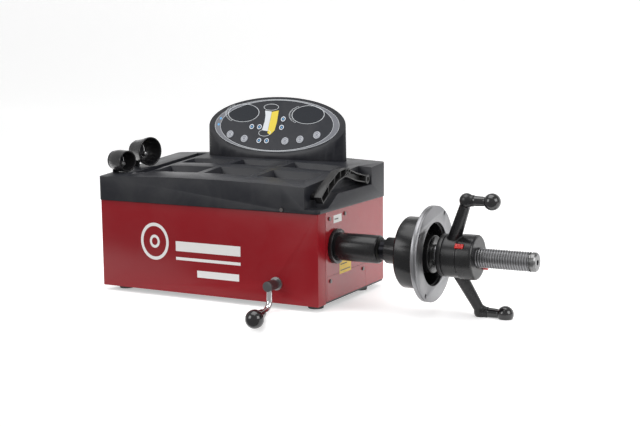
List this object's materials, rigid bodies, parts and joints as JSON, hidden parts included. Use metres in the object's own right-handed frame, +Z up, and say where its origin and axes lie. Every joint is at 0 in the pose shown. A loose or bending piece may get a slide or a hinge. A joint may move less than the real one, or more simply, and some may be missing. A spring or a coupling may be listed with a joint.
{
  "type": "bench-top wheel balancer",
  "caption": "Bench-top wheel balancer: box cabinet with weight tray and oval display console, threaded spindle with mounting flange and handled quick nut.",
  "frame": {"origin": "centre of the cabinet's footprint, on the plane of the feet's soles", "axes": "+X along the spindle towards the wheel, +Y to the rear, +Z up"},
  "size_m": [0.919, 0.4134, 0.4111],
  "materials": {
    "red_paint": "gloss",
    "black_paint": "satin",
    "slate_plastic": "fine grain",
    "overlay": "satin",
    "smoked_window": "clear",
    "digit_black": "matte",
    "circuit_board": "solder mask",
    "key_grey": "satin",
    "arrow_blue": "satin",
    "bright_steel": "machined",
    "face_steel": "turned",
    "chrome": "polished",
    "black_plastic": "gloss",
    "red_plastic": "gloss",
    "foot_rubber": "matte",
    "frame_iron": "rough",
    "core_steel": "laminated",
    "lever_brass": "turned"
  },
  "bodies": {
    "machine": {"base_plate": "black_paint", "front_cover": "red_paint", "right_side_panel": "red_paint", "left_side_panel": "red_paint", "rear_panel": "red_paint", "access_plate": "red_paint", "panel_screws": "bright_steel", "rubber_feet": "foot_rubber", "tray_cover": "slate_plastic", "console_housing": "slate_plastic", "display_panel": "overlay", "display_windows": "smoked_window", "digit_displays": "digit_black", "display_board": "circuit_board", "suspension_frame": "frame_iron", "spindle_tube": "black_paint", "tube_ring": "red_paint", "bearing_outer_rings": "bright_steel", "dust_seal": "foot_rubber", "vibration_sensors": "lever_brass", "encoder_sensor": "black_plastic", "main_board": "circuit_board", "transformer": "core_steel", "power_inlet": "black_plastic", "switch_housing": "black_plastic", "lever_bush": "bright_steel", "gauge_guides": "black_plastic", "cone_pegs": "bright_steel"},
    "spindle": {"spindle_shaft": "bright_steel", "wheel_flange_hub": "black_paint", "flange_disc": "face_steel", "bearing_inner_rings": "bright_steel", "bearing_balls": "chrome", "brake_disc": "bright_steel", "encoder_disc": "bright_steel"},
    "nut_ring": {"pressure_ring": "black_paint"},
    "nut": {"nut_body": "black_paint", "nut_grips": "black_plastic"},
    "near_release": {"release_tab_near": "red_plastic", "jaw_near": "bright_steel"},
    "far_release": {"release_tab_far": "red_plastic", "jaw_far": "bright_steel"},
    "lever": {"lever_shaft": "bright_steel", "lever_hub": "black_paint", "lever_rod": "chrome", "lever_grip": "black_plastic"},
    "shoe": {"brake_shoe": "foot_rubber"},
    "gauge_bar": {"gauge_rod": "bright_steel"},
    "gauge_swing_arm": {"gauge_arm": "slate_plastic"},
    "small_cone_body": {"small_cone": "black_paint"},
    "large_cone_body": {"large_cone": "black_paint"},
    "rocker": {"power_rocker": "red_plastic"},
    "key_start_body": {"key_start": "key_grey"},
    "key_stop_body": {"key_stop": "key_grey"},
    "key_mode_body": {"key_mode": "key_grey"},
    "key_fine_body": {"key_fine": "key_grey"},
    "key_split_body": {"key_split": "key_grey"},
    "arrow_distance_body": {"arrow_distance": "arrow_blue"},
    "arrow_diameter_body": {"arrow_diameter": "arrow_blue"},
    "arrow_width_body": {"arrow_width": "arrow_blue"}
  },
  "joints": [
    {"name": "spindle_spin", "type": "hinge", "parent": "machine", "child": "spindle", "pos_m": [0.3, -0.0714, 0.1186], "axis": [1, 0, 0], "continuous": true},
    {"name": "nut_slide", "type": "slide", "parent": "spindle", "child": "nut_ring", "axis": [1, 0, 0], "range_m": [-0.014, 0.14]},
    {"name": "nut_spin", "type": "hinge", "parent": "nut_ring", "child": "nut", "pos_m": [0.4869, -0.0714, 0.1186], "axis": [1, 0, 0], "continuous": true},
    {"name": "near_tab_press", "type": "slide", "parent": "nut", "child": "near_release", "axis": [0, 0.809, -0.5878], "range_m": [0, 0.002], "stiffness_N_per_m": 1500, "springref_m": -0.002},
    {"name": "far_tab_press", "type": "slide", "parent": "nut", "child": "far_release", "axis": [0, -0.809, 0.5878], "range_m": [0, 0.002], "stiffness_N_per_m": 1500, "springref_m": -0.002},
    {"name": "lever_swing", "type": "hinge", "parent": "machine", "child": "lever", "pos_m": [0.1625, -0.145, 0.05], "axis": [0, 1, 0], "range_deg": [0, 80]},
    {"name": "shoe_lift", "type": "slide", "parent": "machine", "child": "shoe", "axis": [0, 0, 1], "range_m": [0, 0.0016]},
    {"name": "gauge_slide", "type": "slide", "parent": "machine", "child": "gauge_bar", "axis": [1, 0, 0], "range_m": [0, 0.2]},
    {"name": "gauge_swing", "type": "hinge", "parent": "gauge_bar", "child": "gauge_swing_arm", "pos_m": [0.2425, 0.07, 0.233], "axis": [1, 0, 0], "range_deg": [-80, 0]},
    {"name": "small_cone_lift", "type": "slide", "parent": "machine", "child": "small_cone_body", "axis": [0.9556, -0.2382, 0.1736], "range_m": [0, 0.07]},
    {"name": "large_cone_lift", "type": "slide", "parent": "machine", "child": "large_cone_body", "axis": [0.9556, -0.2382, 0.1736], "range_m": [0, 0.07]},
    {"name": "rocker_tip", "type": "hinge", "parent": "machine", "child": "rocker", "pos_m": [-0.13, 0.1434, 0.06], "axis": [1, 0, 0], "range_deg": [-16, 0]},
    {"name": "key_start_press", "type": "slide", "parent": "machine", "child": "key_start_body", "axis": [0, 0.9048, -0.4258], "range_m": [0, 0.001], "stiffness_N_per_m": 800, "springref_m": -0.001},
    {"name": "key_stop_press", "type": "slide", "parent": "machine", "child": "key_stop_body", "axis": [0, 0.9048, -0.4258], "range_m": [0, 0.001], "stiffness_N_per_m": 800, "springref_m": -0.001},
    {"name": "key_mode_press", "type": "slide", "parent": "machine", "child": "key_mode_body", "axis": [0, 0.9048, -0.4258], "range_m": [0, 0.001], "stiffness_N_per_m": 800, "springref_m": -0.001},
    {"name": "key_fine_press", "type": "slide", "parent": "machine", "child": "key_fine_body", "axis": [0, 0.9048, -0.4258], "range_m": [0, 0.001], "stiffness_N_per_m": 800, "springref_m": -0.001},
    {"name": "key_split_press", "type": "slide", "parent": "machine", "child": "key_split_body", "axis": [0, 0.9048, -0.4258], "range_m": [0, 0.001], "stiffness_N_per_m": 800, "springref_m": -0.001},
    {"name": "arrow_distance_press", "type": "slide", "parent": "machine", "child": "arrow_distance_body", "axis": [0, 0.9048, -0.4258], "range_m": [0, 0.0006], "stiffness_N_per_m": 800, "springref_m": -0.001},
    {"name": "arrow_diameter_press", "type": "slide", "parent": "machine", "child": "arrow_diameter_body", "axis": [0, 0.9048, -0.4258], "range_m": [0, 0.0006], "stiffness_N_per_m": 800, "springref_m": -0.001},
    {"name": "arrow_width_press", "type": "slide", "parent": "machine", "child": "arrow_width_body", "axis": [0, 0.9048, -0.4258], "range_m": [0, 0.0006], "stiffness_N_per_m": 800, "springref_m": -0.001}
  ],
  "couplings": [
    {"joint": "shoe_lift", "follows": "lever_swing", "m_per_rad": 0.0010743}
  ]
}
